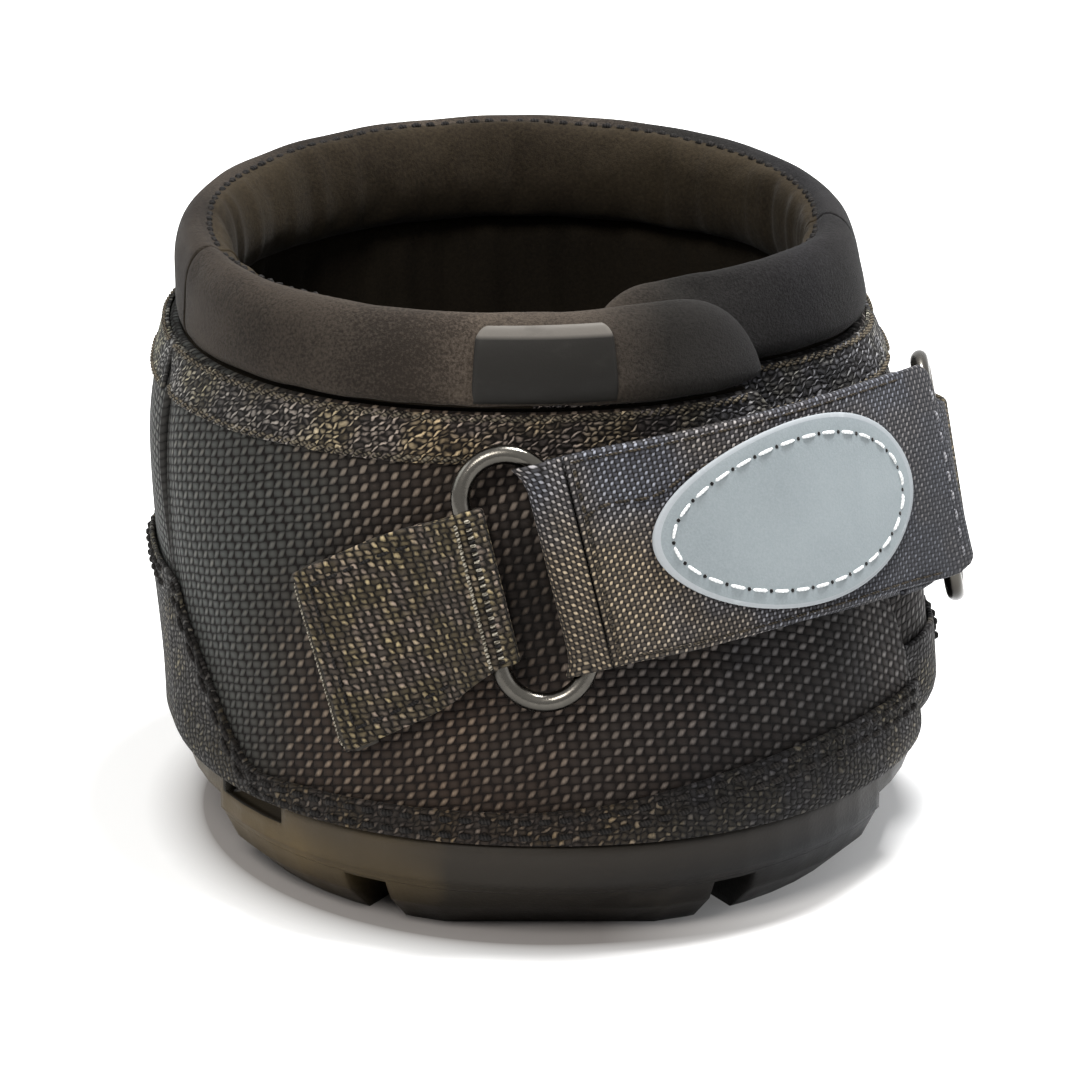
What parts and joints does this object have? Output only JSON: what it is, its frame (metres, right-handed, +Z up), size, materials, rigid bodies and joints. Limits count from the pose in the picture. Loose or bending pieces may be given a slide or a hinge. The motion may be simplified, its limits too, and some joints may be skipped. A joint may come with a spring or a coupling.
{
  "type": "horse hoof boot",
  "caption": "Hoof boot with a moulded rubber sole, wrap-round fabric upper with padded collar, and a strap that folds back through a ring.",
  "frame": {"origin": "middle of the tread, on the ground", "axes": "toe points to -Y, the boot's left side to -X in the view from the toe, +Z up"},
  "size_m": [0.1693, 0.1671, 0.1234],
  "materials": {
    "ballistic_nylon": "coarse plain weave",
    "collar_fabric": "soft brushed knit over foam",
    "footbed_foam": "closed-cell foam",
    "hook_tape": "hook tape",
    "insole_board": "matte fibre board",
    "label_patch": "satin, bare",
    "lining_fabric": "brushed knit",
    "loop_tape": "loop tape",
    "rand_fabric": "coated weave",
    "ring_steel": "polished dark nickel",
    "sole_rubber": "moulded, satin",
    "strap_webbing": "fine plain weave",
    "tab_rubber": "moulded, satin, bare",
    "webbing": "coarse webbing"
  },
  "bodies": {
    "boot": {"footbed": "footbed_foam", "insole_board": "insole_board", "outsole": "sole_rubber", "rear_collar": "collar_fabric", "rear_lining": "lining_fabric", "rear_rand": "rand_fabric", "rear_shell": "ballistic_nylon", "rear_top_band": "webbing", "right_ring_tab": "webbing"},
    "outer_flap": {"outer_flap": "ballistic_nylon", "outer_flap_lining": "lining_fabric", "outer_flap_hem": "rand_fabric", "outer_flap_top_band": "webbing", "outer_collar": "collar_fabric", "flap_loop_panel": "loop_tape", "left_ring_tab": "webbing", "name_tab": "tab_rubber"},
    "inner_flap": {"inner_flap": "ballistic_nylon", "inner_flap_lining": "lining_fabric", "inner_flap_hem": "rand_fabric", "inner_flap_top_band": "webbing", "inner_collar": "collar_fabric", "flap_hook_panel": "hook_tape"},
    "left_ring": {"left_ring": "ring_steel"},
    "right_ring": {"right_ring": "ring_steel"},
    "strap_base": {"strap_base": "strap_webbing", "strap_loop_patch": "loop_tape"},
    "strap_tail": {"strap_tail": "strap_webbing", "strap_hook_patch": "hook_tape", "label_patch": "label_patch"}
  },
  "joints": [
    {"name": "outer_flap_swing", "type": "hinge", "parent": "boot", "child": "outer_flap", "pos_m": [-0.0805, -0.02647, 0.02895], "axis": [-0.0196, -0.2523, -0.9675], "range_deg": [0, 50], "deforming": ["strap_base"]},
    {"name": "inner_flap_swing", "type": "hinge", "parent": "boot", "child": "inner_flap", "pos_m": [0.08471, -0.00024, 0.02897], "axis": [-0.1937, 0.2149, 0.9572], "range_deg": [0, 40]},
    {"name": "left_ring_turn", "type": "hinge", "parent": "outer_flap", "child": "left_ring", "pos_m": [-0.01302, -0.06587, 0.07073], "axis": [0.241, -0.2699, -0.9322], "range_deg": [0, 60]},
    {"name": "right_ring_turn", "type": "hinge", "parent": "boot", "child": "right_ring", "pos_m": [0.0802, 0.01389, 0.06599], "axis": [-0.1578, 0.3091, 0.9378], "range_deg": [0, 100]},
    {"name": "strap_base_swing", "type": "hinge", "parent": "right_ring", "child": "strap_base", "pos_m": [0.07838, -0.00225, 0.071], "axis": [-0.1578, 0.3091, 0.9378], "range_deg": [0, 70]},
    {"name": "strap_tail_peel", "type": "hinge", "parent": "strap_base", "child": "strap_tail", "pos_m": [0.00735, -0.06833, 0.07671], "axis": [0.241, -0.2699, -0.9322], "range_deg": [0, 150]}
  ],
  "couplings": [
    {"joint": "inner_flap_swing", "follows": "outer_flap_swing", "ratio": 0.8},
    {"joint": "left_ring_turn", "follows": "outer_flap_swing", "ratio": 1.2},
    {"joint": "right_ring_turn", "follows": "outer_flap_swing", "ratio": 2},
    {"joint": "strap_base_swing", "follows": "outer_flap_swing", "ratio": 1.4}
  ]
}
